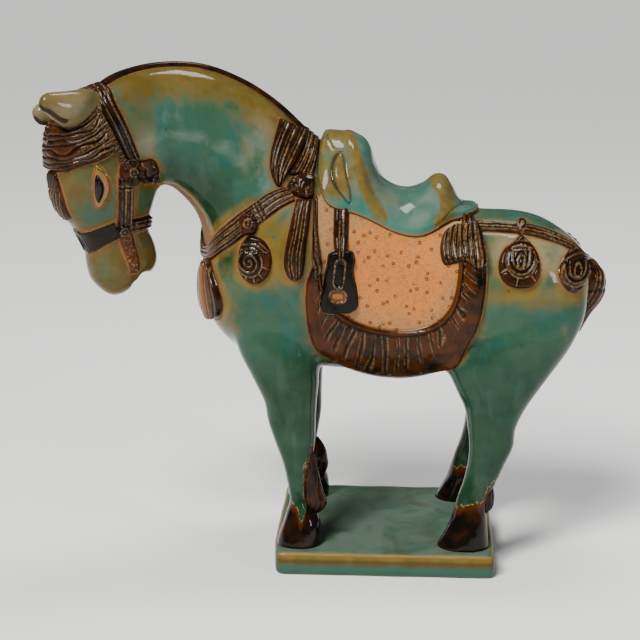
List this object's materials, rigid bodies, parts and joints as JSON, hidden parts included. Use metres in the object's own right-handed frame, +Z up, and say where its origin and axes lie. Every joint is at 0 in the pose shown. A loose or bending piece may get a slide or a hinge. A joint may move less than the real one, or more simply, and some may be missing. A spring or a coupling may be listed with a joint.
{
  "type": "chinese tomb horse",
  "caption": "Glazed ceramic horse standing with its head bowed and turned to its left, with saddle, cloth and harness in relief, fused to a low plinth.",
  "frame": {"origin": "centre of the plinth's flat underside, where it rests", "axes": "+X towards the tail, -Y towards the horse's left side, +Z up; the head is at -X and is turned towards -Y"},
  "size_m": [0.3289, 0.1331, 0.293],
  "materials": {
    "glaze": "gloss"
  },
  "bodies": {
    "root": {"horse": "glaze"}
  },
  "joints": []
}
